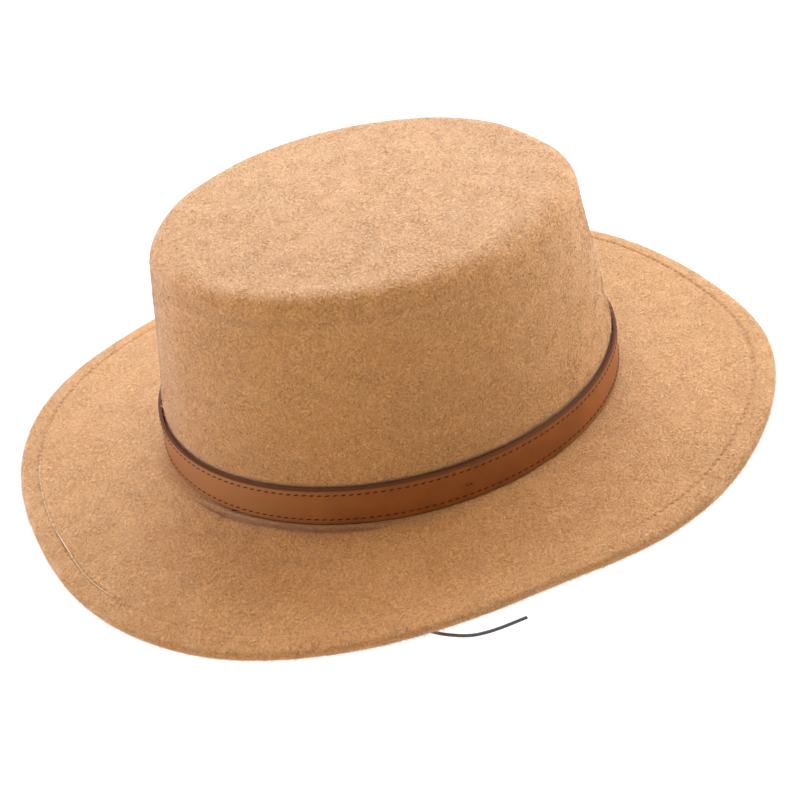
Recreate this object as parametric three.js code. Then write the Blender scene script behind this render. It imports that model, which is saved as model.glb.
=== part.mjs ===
// A wool felt hat with a flat-topped oval crown and a wide, nearly flat brim.
// The crown and the brim are one piece of blocked felt, whose edge is turned under and stitched.
// A narrow leather band closes round the foot of the crown. A thin sizing cord leaves a leather
// tab on the inside of the crown, runs out under the brim and ends bare beside it.
// Millimetres, +Z up. The front of the hat faces -Y, and the hat stands on the plane Z = 0.

import * as THREE from 'three';

// Crown, measured outside the felt
const crownHalfLength = 99.9; // level with the top edge of the band
const crownHalfWidth = 85.3;
const tipHalfLength = 90.3; // where the shoulder under the flat tip begins
const tipHalfWidth = 73.3;
const crownHeight = 108.1; // rim of the tip above the ground
const shoulderRadius = 12.3;
const tipDome = 1.6; // middle of the tip above its rim
const tipTilt = 1.2; // front of the tip higher and back lower by this much
const tipLean = 0.8; // the tip sits this much nearer to the front
const bandFlare = 0.5; // the felt widens by this much from the band's top to its bottom

// Brim
const brimHalfLength = 164.9;
const brimHalfWidth = 139.7;
const brimSquareness = 2.3; // 2 is an ellipse
const seatHeight = 13.6; // upper face of the felt where the brim leaves the crown
const seatFillet = 0.8;
const brimFlatten = 1.25; // above 1 the brim falls first and levels out towards its edge
const feltThickness = 2.2;
const edgeWander = 0.9; // the cut outline strays from its oval by this much
const edgeLift = 7.7; // the highest stretch of the edge above the ground
const rollHeight = 1.4; // soft roll of felt pushed up outside the foot of the band
const rollPlace = 0.09; // share of the way out over the brim
const rollSpread = 0.05;

// Hem: the edge of the brim folded under itself
const hemPuff = 0.3; // the fold is this much thicker than two layers
const hemWidth = 10.2;
const hemFlat = 6.5; // width that is pressed flat where the hat rests
const stitchInset = 8.2; // line of stitches from the edge
const stitchDepth = 0.7;
const stitchSpread = 1.2; // half the width of the groove that the stitches pull in

// Dents in the crown
const dentDepth = 1.6;

// Leather band
const bandWidth = 16.8;
const bandThickness = 1.6;
const bandCorner = 0.35;
const clearance = 0.3; // between pieces that touch

// Sizing cord and the tab that holds it
const tabWidth = 12;
const tabHeight = 12;
const tabThickness = 2.4;
const tabCorner = 2;
const tabRise = 3; // foot of the tab above the seat of the band
const tabTurn = -23; // degrees round the crown from the side towards the back
const cordDiameter = 1.3;
const cordRest = 0.03; // under the cord where it lies on the ground
const cordSides = 8;
const cordSteps = 40;

// How finely the felt and the band are divided
const turnSteps = 64;
const shoulderSteps = 6;
const wallSteps = 7;
const brimSteps = 8;
const weltSteps = 6;

// Height of the brim's edge above the ground, as a share of edgeLift, and how far its outline
// strays outward, as a share of edgeWander, at even steps round from the hat's left side (+X)
// by way of the back (+Y). Where the lift is below zero the hem is pressed flat on the ground.
const edgeTable = [
  { lift: 0.47, stray: -0.44 },
  { lift: -0.06, stray: 0.83 },
  { lift: 1.00, stray: 0.78 },
  { lift: 0.19, stray: 0.67 },
  { lift: -0.16, stray: -0.83 },
  { lift: 0.08, stray: 0.22 },
  { lift: -0.04, stray: 0.22 },
  { lift: -0.05, stray: 0.39 },
  { lift: 0.34, stray: 1.00 },
  { lift: 0.14, stray: -0.17 },
  { lift: -0.05, stray: -0.39 },
  { lift: 0.34, stray: 0.00 },
];

// Dents in the crown: where they lie (turn in degrees, height as a share of crownHeight), how far
// they spread, and how deep they are as a share of dentDepth. A negative depth stands proud.
const dentTable = [
  { turn: 97, spread: 11, height: 0.985, tall: 0.07, depth: 1.0 },
  { turn: 279, spread: 5, height: 0.68, tall: 0.26, depth: -0.55 },
  { turn: 266, spread: 8, height: 0.6, tall: 0.25, depth: 0.5 },
  { turn: 295, spread: 9, height: 0.62, tall: 0.25, depth: 0.35 },
  { turn: 215, spread: 8, height: 0.88, tall: 0.08, depth: 0.6 },
  { turn: 231, spread: 7, height: 0.93, tall: 0.06, depth: -0.4 },
  { turn: 160, spread: 20, height: 0.5, tall: 0.25, depth: 0.6 },
  { turn: 30, spread: 18, height: 0.45, tall: 0.2, depth: 0.4 },
];

// Rolls in the felt outside the foot of the band, as shares of rollHeight
const rollTable = [
  { turn: 268, spread: 9, rise: 0.7 },
  { turn: 287, spread: 8, rise: 1.0 },
  { turn: 305, spread: 9, rise: 0.85 },
  { turn: 322, spread: 8, rise: 0.5 },
  { turn: 337, spread: 7, rise: 0.35 },
  { turn: 150, spread: 25, rise: 0.4 },
];

// The cord's way, from the foot of its tab down to the ground, out under the raised stretch of
// the brim and along the ground beside it. The last number is the height above where it rests.
const cordRoute = [
  [74.88, -37.59, 15.62],
  [74.88, -37.59, 12.12],
  [75.3, -37.9, 8.52],
  [77, -39.2, 5.22],
  [79.9, -41.7, 2.72],
  [83.6, -44.8, 0.92],
  [88.4, -48.2, 0.17],
  [94, -51.2, 0],
  [101, -53.6, 0],
  [109.5, -54.9, 0],
  [118, -54.4, 0],
  [126, -51.6, 0],
  [133, -47, 0],
  [138.2, -41.3, 0],
  [141.3, -36.2, 0],
  [142.8, -31, 0],
  [143.5, -25.8, 0],
  [143.8, -20.3, 0],
  [144, -14.6, 0],
];

const edgeThickness = 2 * feltThickness + hemPuff;
const weltRadius = edgeThickness / 2;
const bandFoot = seatHeight + clearance;
const bandHead = bandFoot + bandWidth;
const shoulderFoot = crownHeight - shoulderRadius;

const degrees = Math.PI / 180;
const mix = (a, b, share) => a + (b - a) * share;
const bell = (distance, spread) => Math.exp(-((distance / spread) ** 2));
const smooth = (share) => {
  const t = Math.min(1, Math.max(0, share));
  return t * t * (3 - 2 * t);
};

// A smooth closed curve through one column of an evenly spaced table
function around(table, column, turn) {
  const count = table.length;
  const place = (((turn / (2 * Math.PI)) % 1) + 1) * count;
  const row = Math.floor(place);
  const t = place - row;
  const [a, b, c, d] = [-1, 0, 1, 2].map((step) => table[(row + step + count) % count][column]);
  return b + 0.5 * t * (c - a + t * (2 * a - 5 * b + 4 * c - d + t * (3 * (b - c) + d - a)));
}

// Degrees between two places round the hat, at most 180
function apart(turn, degreesRound) {
  const gap = Math.abs(turn / degrees - degreesRound) % 360;
  return Math.min(gap, 360 - gap);
}

// Upper face of the brim: share 0 is the foot of the crown and share 1 the edge
function brimFall(share) {
  return mix(edgeThickness, seatHeight, (1 - share) ** brimFlatten);
}

// A station is one ring of felt before the edge's waves, the dents and the tilt are laid over it:
// half its width and length, its height, its share of the way out over the brim, how much of the
// tip's tilt it takes, and which way its outer face looks (0 sideways, 1 up)
const crownStation = (width, length, height, tip, up) => ({ width, length, height, brim: 0, tip, up });

const seatWidth = crownHalfWidth + bandFlare + seatFillet;
const seatLength = crownHalfLength + bandFlare + seatFillet;
const brimSpan = brimHalfWidth - seatWidth;

// The hem keeps its width all round, and what is left of the brim is longer fore and aft
function brimStation(inset, height) {
  const share = 1 - inset / brimSpan;
  const inward = Math.max(0, (inset - hemWidth) / (brimSpan - hemWidth));
  return {
    width: brimHalfWidth - inset,
    length: mix(brimHalfLength - Math.min(inset, hemWidth), seatLength, inward),
    height: height === undefined ? brimFall(share) : height,
    brim: share,
    tip: 0,
  };
}

// Half width and half length of the crown's outside at a height, out to the shoulder
function crownSize(height) {
  if (height <= bandHead) {
    const flare = bandFlare * (1 - smooth((height - seatHeight) / (bandHead - seatHeight)));
    return [crownHalfWidth + flare, crownHalfLength + flare];
  }
  const share = (height - bandHead) / (shoulderFoot - bandHead);
  return [mix(crownHalfWidth, tipHalfWidth, share), mix(crownHalfLength, tipHalfLength, share)];
}

// Rings over the crown from its middle down to its foot, on the outside (depth 0) or as far
// inside it as the felt is thick
function crownStations(depth, foot) {
  const stations = [];
  const radius = shoulderRadius - depth;
  const [flatWidth, flatLength] = [tipHalfWidth - shoulderRadius, tipHalfLength - shoulderRadius];
  for (const share of [0, 0.3, 0.6, 0.85]) {
    const rise = tipDome * (1 - share ** 2);
    stations.push(crownStation(flatWidth * share, flatLength * share, crownHeight + rise - depth, 1, 1));
  }
  for (let step = 0; step < shoulderSteps; step++) {
    const angle = 90 * (1 - step / shoulderSteps) * degrees;
    const out = radius * Math.cos(angle);
    const height = shoulderFoot + radius * Math.sin(angle);
    stations.push(crownStation(flatWidth + out, flatLength + out, height, 1, Math.sin(angle)));
  }
  for (let step = 0; step <= wallSteps; step++) {
    const height = mix(shoulderFoot, bandHead, step / wallSteps);
    const [width, length] = crownSize(height);
    const tip = smooth(1 - (2 * step) / wallSteps);
    stations.push(crownStation(width - depth, length - depth, height, tip, 0));
  }
  for (const share of [0.5, 1]) {
    const height = mix(bandHead, foot, share);
    const [width, length] = crownSize(height);
    stations.push(crownStation(width - depth, length - depth, height, 0, 0));
  }
  return stations;
}

// The rounded bend between the crown and the brim, above (outer) or below (inner)
function bendStations(depth) {
  const radius = seatFillet + depth;
  return [30, 60, 90].map((angle) => {
    const out = radius * Math.cos(angle * degrees);
    const height = seatHeight + seatFillet - radius * Math.sin(angle * degrees);
    return crownStation(seatWidth - out, seatLength - out, height, 0, 1);
  });
}

function feltStations() {
  const top = crownStations(0, seatHeight + seatFillet);
  const brimTop = [];
  for (let step = 1; step <= brimSteps; step++) {
    brimTop.push(brimStation(mix(brimSpan, stitchInset + 2 * stitchSpread, step / brimSteps)));
  }
  const groove = [stitchSpread, 0, -stitchSpread].map((offset) => {
    const station = brimStation(stitchInset + offset);
    return offset === 0 ? { ...station, height: station.height - stitchDepth } : station;
  });
  const welt = [];
  for (let step = 0; step <= weltSteps; step++) {
    const angle = 90 - (180 * step) / weltSteps;
    const inset = weltRadius * (1 - Math.cos(angle * degrees));
    welt.push(brimStation(inset, weltRadius * (1 + Math.sin(angle * degrees))));
  }
  const hemInner = brimStation(hemWidth);
  const under = [
    brimStation(hemFlat, 0),
    { ...hemInner, height: hemInner.height - edgeThickness },
    { ...hemInner, height: hemInner.height - feltThickness },
  ];
  for (let step = 1; step < brimSteps; step++) {
    const station = brimStation(mix(hemWidth, brimSpan, step / brimSteps));
    under.push({ ...station, height: station.height - feltThickness });
  }
  const inside = crownStations(feltThickness, seatHeight + seatFillet).reverse();
  const bendBelow = bendStations(feltThickness).reverse();
  return [...top, ...bendStations(0), ...brimTop, ...groove, ...welt, ...under, ...bendBelow, ...inside];
}

// Distance from the middle of an oval to its outline in one direction
function ovalReach(width, length, squareness, turn) {
  const across = Math.abs(Math.cos(turn)) / width;
  const along = Math.abs(Math.sin(turn)) / length;
  return (across ** squareness + along ** squareness) ** (-1 / squareness);
}

// One point of the felt: the station's oval, then the stray and lift of the edge, the rolls at
// the foot of the band, the dents, and the lean and tilt of the tip
function feltPoint(station, turn) {
  const squareness = mix(2, brimSquareness, smooth(station.brim));
  let reach = station.width > 0 ? ovalReach(station.width, station.length, squareness, turn) : 0;
  let height = station.height;
  reach += edgeWander * around(edgeTable, 'stray', turn) * station.brim ** 2;
  height += edgeLift * Math.max(0, around(edgeTable, 'lift', turn)) * station.brim ** 2;
  for (const roll of rollTable) {
    const ring = station.brim > 0 ? bell(station.brim - rollPlace, rollSpread) : 0;
    height += rollHeight * roll.rise * bell(apart(turn, roll.turn), roll.spread) * ring;
  }
  if (station.brim === 0 && station.height > bandHead) {
    for (const dent of dentTable) {
      const near = bell(apart(turn, dent.turn), dent.spread);
      const level = bell(station.height / crownHeight - dent.height, dent.tall);
      const rim = Math.min(1, station.width / (tipHalfWidth - shoulderRadius)) ** 4;
      const depth = dentDepth * dent.depth * near * level * rim;
      reach -= depth * (1 - station.up);
      height -= depth * station.up;
    }
  }
  height -= tipTilt * Math.sin(turn) * station.tip;
  const lean = tipLean * smooth((station.height - bandHead) / (shoulderFoot - bandHead));
  return new THREE.Vector3(reach * Math.cos(turn), reach * Math.sin(turn) - lean, height);
}

// A closed skin through rings of points that run down the outside of a piece and back up inside
// it. A ring of one point closes an end, and without such ends the last ring joins the first.
function skin(rings) {
  const points = [];
  const starts = rings.map((ring) => {
    points.push(...ring);
    return points.length - ring.length;
  });
  const faces = [];
  const last = rings[0].length === 1 ? rings.length - 1 : rings.length;
  for (let index = 0; index < last; index++) {
    const next = (index + 1) % rings.length;
    const at = (ring, step) => starts[ring] + (step % rings[ring].length);
    const count = Math.max(rings[index].length, rings[next].length);
    for (let step = 0; step < count; step++) {
      if (rings[next].length > 1) faces.push(at(index, step), at(next, step), at(next, step + 1));
      if (rings[index].length > 1) faces.push(at(index, step), at(next, step + 1), at(index, step + 1));
    }
  }
  const geometry = new THREE.BufferGeometry().setFromPoints(points);
  geometry.setIndex(faces);
  geometry.computeVertexNormals();
  return geometry;
}

const turns = Array.from({ length: turnSteps }, (_, step) => (2 * Math.PI * step) / turnSteps);

function feltBody() {
  const rings = feltStations().map((station) => {
    if (station.width === 0) return [feltPoint(station, 0)];
    return turns.map((turn) => feltPoint(station, turn));
  });
  return skin(rings);
}

// A plain strip closed into a ring, standing clear of the felt by the clearance
function leatherBand() {
  const [inside, outside] = [clearance, clearance + bandThickness];
  const section = [
    [inside, bandHead - bandCorner],
    [inside + bandCorner, bandHead],
    [outside - bandCorner, bandHead],
    [outside, bandHead - bandCorner],
    [outside, mix(bandHead, bandFoot, 0.5)],
    [outside, bandFoot + bandCorner],
    [outside - bandCorner, bandFoot],
    [inside + bandCorner, bandFoot],
    [inside, bandFoot + bandCorner],
    [inside, mix(bandFoot, bandHead, 0.5)],
  ];
  const rings = section.map(([offset, height]) => {
    const [width, length] = crownSize(height);
    return turns.map((turn) => {
      const reach = ovalReach(width + offset, length + offset, 2, turn);
      return new THREE.Vector3(reach * Math.cos(turn), reach * Math.sin(turn), height);
    });
  });
  return skin(rings);
}

// A small upright leather tab, flat against the inside of the crown
function cordTab() {
  const half = tabWidth / 2;
  const outline = new THREE.Shape();
  outline.moveTo(-half, 0);
  outline.lineTo(half, 0);
  outline.lineTo(half, tabHeight - tabCorner);
  outline.absarc(half - tabCorner, tabHeight - tabCorner, tabCorner, 0, Math.PI / 2);
  outline.lineTo(-half + tabCorner, tabHeight);
  outline.absarc(-half + tabCorner, tabHeight - tabCorner, tabCorner, Math.PI / 2, Math.PI);
  outline.closePath();
  return new THREE.ExtrudeGeometry(outline, { depth: tabThickness, bevelEnabled: false, curveSegments: 3 });
}

// The tab stands clear of the wall at its head, where the crown is narrowest, and a flat tab on a
// curved wall stands off further by the sagitta of its width
function placeTab(mesh) {
  const turn = tabTurn * degrees;
  const foot = seatHeight + tabRise;
  const [width, length] = crownSize(foot + tabHeight).map((half) => half - feltThickness);
  const outward = new THREE.Vector3(Math.cos(turn) / width, Math.sin(turn) / length, 0).normalize();
  const standOff = clearance + tabWidth ** 2 / (8 * width) + tabThickness;
  mesh.position.set(width * Math.cos(turn), length * Math.sin(turn), foot);
  mesh.position.addScaledVector(outward, -standOff);
  const up = new THREE.Vector3(0, 0, 1);
  const along = new THREE.Vector3().crossVectors(up, outward);
  mesh.setRotationFromMatrix(new THREE.Matrix4().makeBasis(along, up, outward));
}

function sizeCord() {
  const circle = new THREE.Shape();
  for (let side = 0; side < cordSides; side++) {
    const angle = (2 * Math.PI * side) / cordSides;
    const [x, y] = [(cordDiameter / 2) * Math.cos(angle), (cordDiameter / 2) * Math.sin(angle)];
    if (side === 0) circle.moveTo(x, y);
    else circle.lineTo(x, y);
  }
  circle.closePath();
  const laid = cordRoute.map(([x, y, rise]) => new THREE.Vector3(x, y, cordDiameter / 2 + cordRest + rise));
  const path = new THREE.CatmullRomCurve3(laid);
  return new THREE.ExtrudeGeometry(circle, { steps: cordSteps, bevelEnabled: false, extrudePath: path });
}

const felt = new THREE.MeshStandardMaterial({ color: '#cf9c72', roughness: 0.95, metalness: 0 });
const leather = new THREE.MeshStandardMaterial({ color: '#7b4728', roughness: 0.5, metalness: 0 });
const tabLeather = new THREE.MeshStandardMaterial({ color: '#5d3a24', roughness: 0.6, metalness: 0 });
const cordFibre = new THREE.MeshStandardMaterial({ color: '#55504e', roughness: 0.8, metalness: 0 });

function piece(name, geometry, material) {
  const mesh = new THREE.Mesh(geometry, material);
  mesh.name = name;
  return mesh;
}

const hat = new THREE.Group();
const tab = piece('cord_tab', cordTab(), tabLeather);
placeTab(tab);
hat.add(piece('felt_body', feltBody(), felt));
hat.add(piece('leather_band', leatherBand(), leather));
hat.add(tab);
hat.add(piece('size_cord', sizeCord(), cordFibre));

export default hat;
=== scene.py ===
import functools
import math

import bmesh
import bpy
import numpy as np
from mathutils import Matrix, Vector, noise


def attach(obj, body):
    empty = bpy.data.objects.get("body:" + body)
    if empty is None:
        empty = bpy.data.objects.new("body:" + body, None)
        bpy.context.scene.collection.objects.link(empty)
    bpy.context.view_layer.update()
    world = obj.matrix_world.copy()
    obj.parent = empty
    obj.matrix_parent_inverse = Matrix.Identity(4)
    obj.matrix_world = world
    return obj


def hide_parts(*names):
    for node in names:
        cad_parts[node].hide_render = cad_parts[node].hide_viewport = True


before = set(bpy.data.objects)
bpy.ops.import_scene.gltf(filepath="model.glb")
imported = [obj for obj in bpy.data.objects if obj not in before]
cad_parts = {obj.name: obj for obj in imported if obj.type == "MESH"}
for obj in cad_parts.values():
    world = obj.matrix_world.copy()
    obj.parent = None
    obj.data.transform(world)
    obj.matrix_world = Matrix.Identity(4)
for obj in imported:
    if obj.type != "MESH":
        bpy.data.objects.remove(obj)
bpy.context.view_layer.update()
mm = 0.001

# The camera looks down on the hat's left side, a little from the front, and is slightly rolled.
CAMERA_TURN = math.radians(69.334)
CAMERA_HEIGHT = math.radians(36.444)
CAMERA_ROLL = math.radians(-8.294)
CAMERA_OFFSET = Vector((1.61, 4.14, 679.0)) * mm
SENSOR_WIDTH = 36.0
LENS = 68.77

camera_data = bpy.data.cameras.new("camera")
camera_data.sensor_width = SENSOR_WIDTH
camera_data.lens = LENS
camera_data.clip_start = 0.01
camera = bpy.data.objects.new("camera", camera_data)
bpy.context.collection.objects.link(camera)
turned = Matrix.Rotation(CAMERA_TURN, 4, "Z") @ Matrix.Rotation(math.pi / 2 - CAMERA_HEIGHT, 4, "X")
turned = turned @ Matrix.Rotation(CAMERA_ROLL, 4, "Z")
camera.matrix_world = turned @ Matrix.Translation(CAMERA_OFFSET)
bpy.context.scene.camera = camera

# The sizing cord is a thin dark waxed cord of three strands laid together. It leaves its tab
# inside the crown, drops to the ground, passes out under the brim and ends cut square.
CORD_RADIUS = 0.65 * mm
CORD_REST = 0.03 * mm
CORD_STRANDS = 3
STRAND_RELIEF = 0.07  # share of the radius between the strands
STRAND_LAY = 5.0 * mm  # length in which a strand goes once round
CORD_STEP = 0.5 * mm
CORD_SIDES = 18
CORD_COLOUR = (0.088, 0.079, 0.075)
CORD_ROUTE = [  # the last number is the height above where the cord rests on the ground
    (74.88, -37.59, 15.62),
    (74.88, -37.59, 12.12),
    (75.3, -37.9, 8.52),
    (77.0, -39.2, 5.22),
    (79.9, -41.7, 2.72),
    (83.6, -44.8, 0.92),
    (88.4, -48.2, 0.17),
    (94.0, -51.2, 0.0),
    (101.0, -53.6, 0.0),
    (109.5, -54.9, 0.0),
    (118.0, -54.4, 0.0),
    (126.0, -51.6, 0.0),
    (133.0, -47.0, 0.0),
    (138.2, -41.3, 0.0),
    (141.3, -36.2, 0.0),
    (142.8, -31.0, 0.0),
    (143.5, -25.8, 0.0),
    (143.8, -20.3, 0.0),
    (144.0, -14.6, 0.0),
]


class Field:
    """A shader socket whose sums are written as Python expressions."""

    def __init__(self, finish, socket):
        self.finish = finish
        self.socket = socket

    def maths(self, operation, first, second=0.0):
        return self.finish.node("ShaderNodeMath", {"operation": operation}, {0: first, 1: second})

    def __add__(self, other):
        return self.maths("ADD", self, other)

    def __sub__(self, other):
        return self.maths("SUBTRACT", self, other)

    def __rsub__(self, other):
        return self.maths("SUBTRACT", other, self)

    def __mul__(self, other):
        return self.maths("MULTIPLY", self, other)

    def __pow__(self, other):
        return self.maths("POWER", self, other)

    __radd__ = __add__
    __rmul__ = __mul__

    def fraction(self):
        return self.maths("FRACT", self)

    def between(self, low, high):
        """0 up to the low value, 1 from the high one, and even steps between them."""
        return self.finish.node("ShaderNodeMapRange", {"clamp": True}, {0: self, 1: low, 2: high})


class Finish:
    """A material built on one Principled shader."""

    def __init__(self, name, **constants):
        self.material = bpy.data.materials.new(name)
        self.material.use_nodes = True
        self.tree = self.material.node_tree
        self.shader = self.tree.nodes["Principled BSDF"]
        for socket, value in constants.items():
            self.set(self.shader.inputs[socket.replace("_", " ")], value)

    def node(self, kind, settings=None, inputs=None, output=0):
        made = self.tree.nodes.new(kind)
        for key, value in (settings or {}).items():
            setattr(made, key, value)
        for key, value in (inputs or {}).items():
            self.set(made.inputs[key], value)
        return Field(self, made.outputs[output])

    def set(self, socket, value):
        if isinstance(value, Field):
            self.tree.links.new(value.socket, socket)
        elif socket.type == "RGBA":
            socket.default_value = (*value, 1.0)
        else:
            socket.default_value = value

    def place(self):
        return self.node("ShaderNodeTexCoord", output="Object")

    def noise(self, place, size, detail=2.0, roughness=0.5, distortion=0.0):
        """Noise whose patches are about that size, in metres."""
        inputs = {"Vector": place, "Scale": 1.0 / size, "Detail": detail}
        inputs.update({"Roughness": roughness, "Distortion": distortion})
        return self.node("ShaderNodeTexNoise", None, inputs)

    def blend(self, share, first, second):
        inputs = {0: share, 6: first, 7: second}
        return self.node("ShaderNodeMix", {"data_type": "RGBA"}, inputs, output=2)

    def split(self, vector, axis):
        return self.node("ShaderNodeSeparateXYZ", None, {0: vector}, output=axis)

    def colour(self, value):
        self.set(self.shader.inputs["Base Color"], value)

    def roughness(self, value):
        self.set(self.shader.inputs["Roughness"], value)

    def relief(self, height, depth):
        bump = self.node("ShaderNodeBump", None, {"Height": height, "Distance": depth})
        self.set(self.shader.inputs["Normal"], bump)


def add_object(name, mesh, finish):
    mesh.materials.append(finish.material)
    made = bpy.data.objects.new(name, mesh)
    bpy.context.collection.objects.link(made)
    return made


def add_piece(name, mesh, finish, node=None):
    """Puts a mesh on the hat as a smooth piece, in place of a node of the frame if one is named."""
    mesh.polygons.foreach_set("use_smooth", [True] * len(mesh.polygons))
    piece = add_object(name, mesh, finish)
    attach(piece, "root")
    if node:
        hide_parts(node)
    return piece


def mesh_of(name, bm):
    mesh = bpy.data.meshes.new(name)
    bm.to_mesh(mesh)
    bm.free()
    return mesh


def curve_through(points, step):
    """Points about a step apart on a smooth curve through the given ones."""
    ends = [2 * points[0] - points[1]] + points + [2 * points[-1] - points[-2]]
    dense = []
    for a, b, c, d in zip(ends, ends[1:], ends[2:], ends[3:]):
        count = max(2, round((c - b).length / step))
        for index in range(count):
            t = index / count
            bend = 2 * a - 5 * b + 4 * c - d + t * (3 * (b - c) + d - a)
            dense.append(b + 0.5 * t * (c - a + t * bend))
    return dense + [points[-1]]


def lengths_along(points):
    lengths = [0.0]
    for a, b in zip(points, points[1:]):
        lengths.append(lengths[-1] + (b - a).length)
    return lengths


def sides_along(points):
    """Two directions square to the path at each point, carried along it without twisting."""
    side = Vector((1.0, 0.0, 0.0))
    sides = []
    for index in range(len(points)):
        ahead = points[min(index + 1, len(points) - 1)] - points[max(index - 1, 0)]
        side = (side - side.project(ahead)).normalized()
        sides.append((side.copy(), ahead.normalized().cross(side)))
    return sides


def roll_tube(points, corners, reach):
    """Rolls a flat strip of mesh into a closed tube; reach is its radius by angle and length."""
    lengths, sides = lengths_along(points), sides_along(points)
    steps = len(points) - 1
    bm = bmesh.new()
    bmesh.ops.create_grid(bm, x_segments=steps, y_segments=corners, size=0.5)
    for vert in bm.verts:
        index = round((vert.co.x + 0.5) * steps)
        angle = 2 * math.pi * (vert.co.y + 0.5)
        side, up = sides[index]
        out = math.cos(angle) * side + math.sin(angle) * up
        vert.co = points[index] + reach(angle, lengths[index]) * out
    bmesh.ops.remove_doubles(bm, verts=bm.verts, dist=0.001 * mm)
    bmesh.ops.holes_fill(bm, edges=bm.edges, sides=corners)
    bmesh.ops.recalc_face_normals(bm, faces=bm.faces)
    return bm


def cord_reach(angle, length):
    twist = CORD_STRANDS * (angle - 2 * math.pi * length / STRAND_LAY)
    return CORD_RADIUS * (1 - STRAND_RELIEF * (0.5 + 0.5 * math.cos(twist)))


cord_rest = Vector((0.0, 0.0, CORD_RADIUS + CORD_REST))
cord_path = curve_through([Vector(point) * mm + cord_rest for point in CORD_ROUTE], CORD_STEP)
cord_wax = Finish("cord_wax", Roughness=0.55, Specular_IOR_Level=0.35)
fleck = cord_wax.noise(cord_wax.place(), 0.5 * mm, detail=3.0)
cord_wax.colour(cord_wax.blend(fleck, CORD_COLOUR, [1.5 * part for part in CORD_COLOUR]))
cord_wax.relief(fleck, 0.05 * mm)
cord_mesh = mesh_of("size_cord_laid", roll_tube(cord_path, CORD_SIDES, cord_reach))
cord = add_piece("size_cord_laid", cord_mesh, cord_wax, "size_cord")
lengths_along(cord_path)[-1]

# The crown and the brim are one hood of wool felt, blocked over a wooden form, brushed and
# steamed. The edge of the brim is folded under itself and puffs out round the fold.
CROWN_HALF_LENGTH = 99.9 * mm
CROWN_HALF_WIDTH = 85.3 * mm
TIP_HALF_LENGTH = 90.3 * mm
TIP_HALF_WIDTH = 73.3 * mm
CROWN_HEIGHT = 108.1 * mm
SHOULDER_RADIUS = 12.3 * mm
TIP_DOME = 1.6 * mm
TIP_TILT = 1.2 * mm
TIP_LEAN = 0.8 * mm
BAND_FLARE = 0.5 * mm
BRIM_HALF_LENGTH = 164.9 * mm
BRIM_HALF_WIDTH = 139.7 * mm
BRIM_SQUARENESS = 2.3
SEAT_HEIGHT = 13.6 * mm
SEAT_FILLET = 0.8 * mm
BRIM_FLATTEN = 1.25
FELT_THICKNESS = 2.2 * mm
EDGE_WANDER = 0.9 * mm
EDGE_LIFT = 7.7 * mm
ROLL_HEIGHT = 1.4 * mm
ROLL_PLACE = 0.09
ROLL_SPREAD = 0.05
ROLL_LUMP = 3.5
ROLL_LUMP_SIZE = 3.5 * mm
RIDGE_RISE = 1.0 * mm  # felt squeezed out under the band at the left front
RIDGE_START = 1.2 * mm
RIDGE_END = 3.3 * mm
RIDGE_FLANK = 0.6 * mm
RIDGE_TURN = 309
RIDGE_REACH = (17, 27)  # degrees to either side where the ridge is full, and where it ends
CREASE_DEPTH = 0.8 * mm
CREASE_PLACE = 3.8 * mm
CREASE_SPREAD = 0.5 * mm
CREASE_SHADE = 0.38
CREASE_SHADE_SPREAD = 0.9 * mm
FOOT_SHADE = 0.44  # painted shade on the brim's felt against the band, strongest towards the left front
FOOT_PLACE = 1.5 * mm
FOOT_WIDTH = 6.0 * mm  # rings are close this far out on the brim
FOOT_SPREAD = 4.5 * mm
FOOT_TURN = 315
FOOT_TURN_SPREAD = 34
HEM_PUFF = 0.3 * mm
HEM_WIDTH = 10.2 * mm
HEM_FLAT = 6.5 * mm
HEM_CROWN = 0.25 * mm
STITCH_INSET = 8.2 * mm
STITCH_DEPTH = 0.7 * mm
STITCH_SPREAD = 0.7 * mm
BURIED_TURN = 338  # nap buries the seam round here
BURIED_SPREAD = 40
BURIED_SHARE = 0.9
BURIED_FROM = 0.3  # share from which no stitch shows
SEAM_AWAY = 9.0
DENT_DEPTH = 1.6 * mm
BAND_WIDTH = 16.8 * mm
BAND_PINCH = 0.65 * mm  # the band's upper edge presses this far into the felt
BAND_PINCH_SPREAD = 1.3 * mm
PINCH_RISES = (1.5, 1.2, 0.9, 0.6, 0.3)  # mm from the band's upper edge, where rings are close
PINCH_DROPS = (0.0, 0.3, 0.6, 1.0, 1.5)
GAP_SHADE = 1.0  # how dark the painted shade is on the felt where the band presses into it
GAP_DROP = 0.4 * mm
GAP_SPREAD = 0.65 * mm
BARE_RISE = 1.0 * mm  # no nap stands this close above the band
KNUCKLE_RISE = 2.0 * mm  # the shoulder is fuller and sharper at the left front
KNUCKLE_MIDDLE = 52  # degrees up the shoulder's arc
KNUCKLE_SPREAD = 27
KNUCKLE_CREASE = 0.5 * mm
KNUCKLE_CREASE_ANGLE = 14
KNUCKLE_CREASE_SPREAD = 10
KNUCKLE_SHADE = 0.15
KNUCKLE_TURN = 303
KNUCKLE_TURN_SPREAD = 42
CLEARANCE = 0.3 * mm
FELT_LUMP = 0.16 * mm
LUMP_SIZE = 17 * mm
LUMP_DETAIL = 0.3
LUMP_DETAIL_SIZE = 0.35 * LUMP_SIZE
LUMP_FROM = 0.2 * mm  # the felt is even where it rests, and lumpy from a little above that
LUMP_FADE = 6 * mm
TURN_STEPS = 288

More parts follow.
